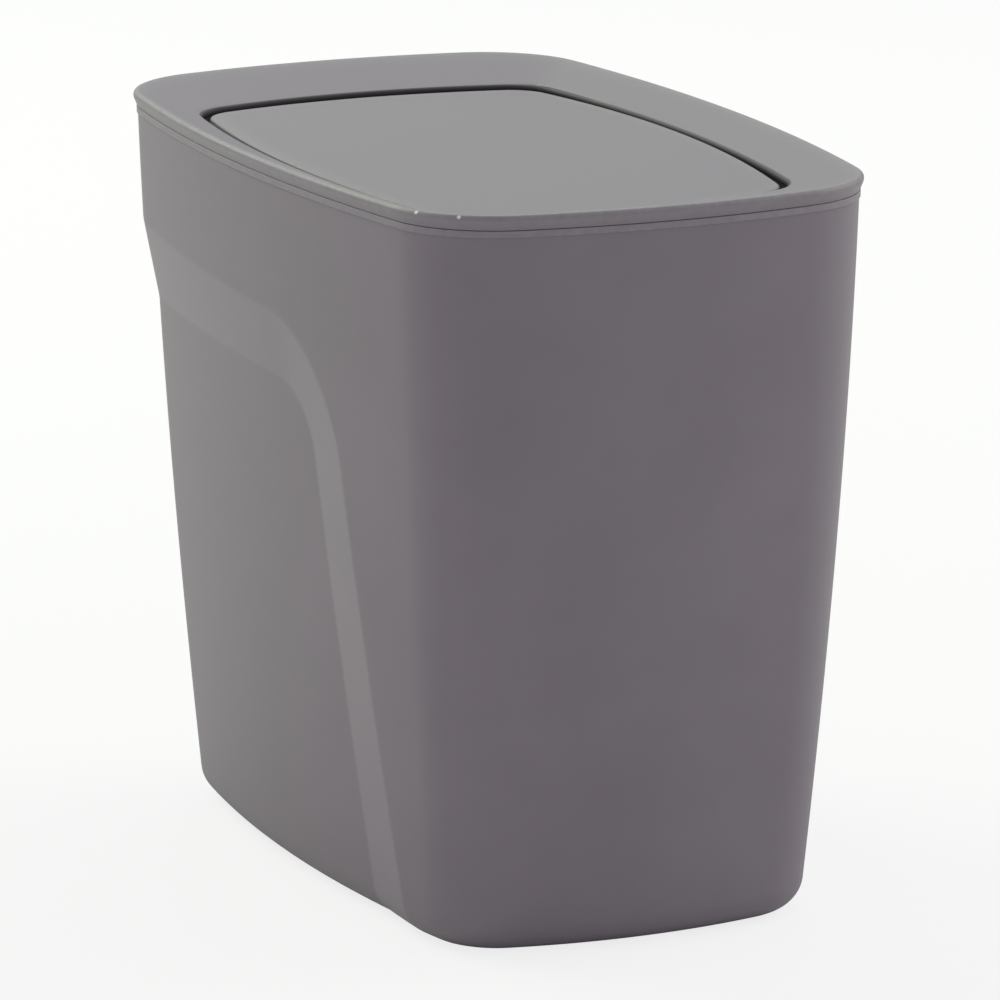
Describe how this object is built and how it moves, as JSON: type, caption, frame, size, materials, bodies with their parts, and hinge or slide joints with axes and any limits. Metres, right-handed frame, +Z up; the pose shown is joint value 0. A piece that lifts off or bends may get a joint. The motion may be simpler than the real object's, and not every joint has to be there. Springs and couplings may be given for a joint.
{
  "type": "swing-lid waste bin",
  "caption": "Tapered oblong waste bin with a stepped-in rear half, a dished lift-off lid frame and a flap that swings both ways on a centre pivot.",
  "frame": {"origin": "middle of the flat base, on the surface that the bin stands on", "axes": "+Z up; +X across the bin, along the flap's pivot; +Y along the bin's longest side, from the plain front at -Y to the stepped-in rear at +Y"},
  "size_m": [0.1824, 0.2954, 0.25],
  "materials": {
    "bin_plastic": "fine spark-eroded matt, warm grey",
    "lid_plastic": "fine spark-eroded matt, warm grey",
    "flap_plastic": "fine spark-eroded matt, warm grey",
    "pin_plastic": "smooth moulded, warm grey"
  },
  "bodies": {
    "bin": {"bin_body": "bin_plastic"},
    "lid": {"lid_frame": "lid_plastic", "right_pivot_pin": "pin_plastic", "left_pivot_pin": "pin_plastic"},
    "flap": {"swing_flap": "flap_plastic"}
  },
  "joints": [
    {"name": "lid_lift", "type": "slide", "parent": "bin", "child": "lid", "axis": [0, 0, 1], "range_m": [0, 0.13]},
    {"name": "flap_swing", "type": "hinge", "parent": "lid", "child": "flap", "pos_m": [0, 0, 0.2402], "axis": [1, 0, 0], "range_deg": [-80, 80]}
  ]
}
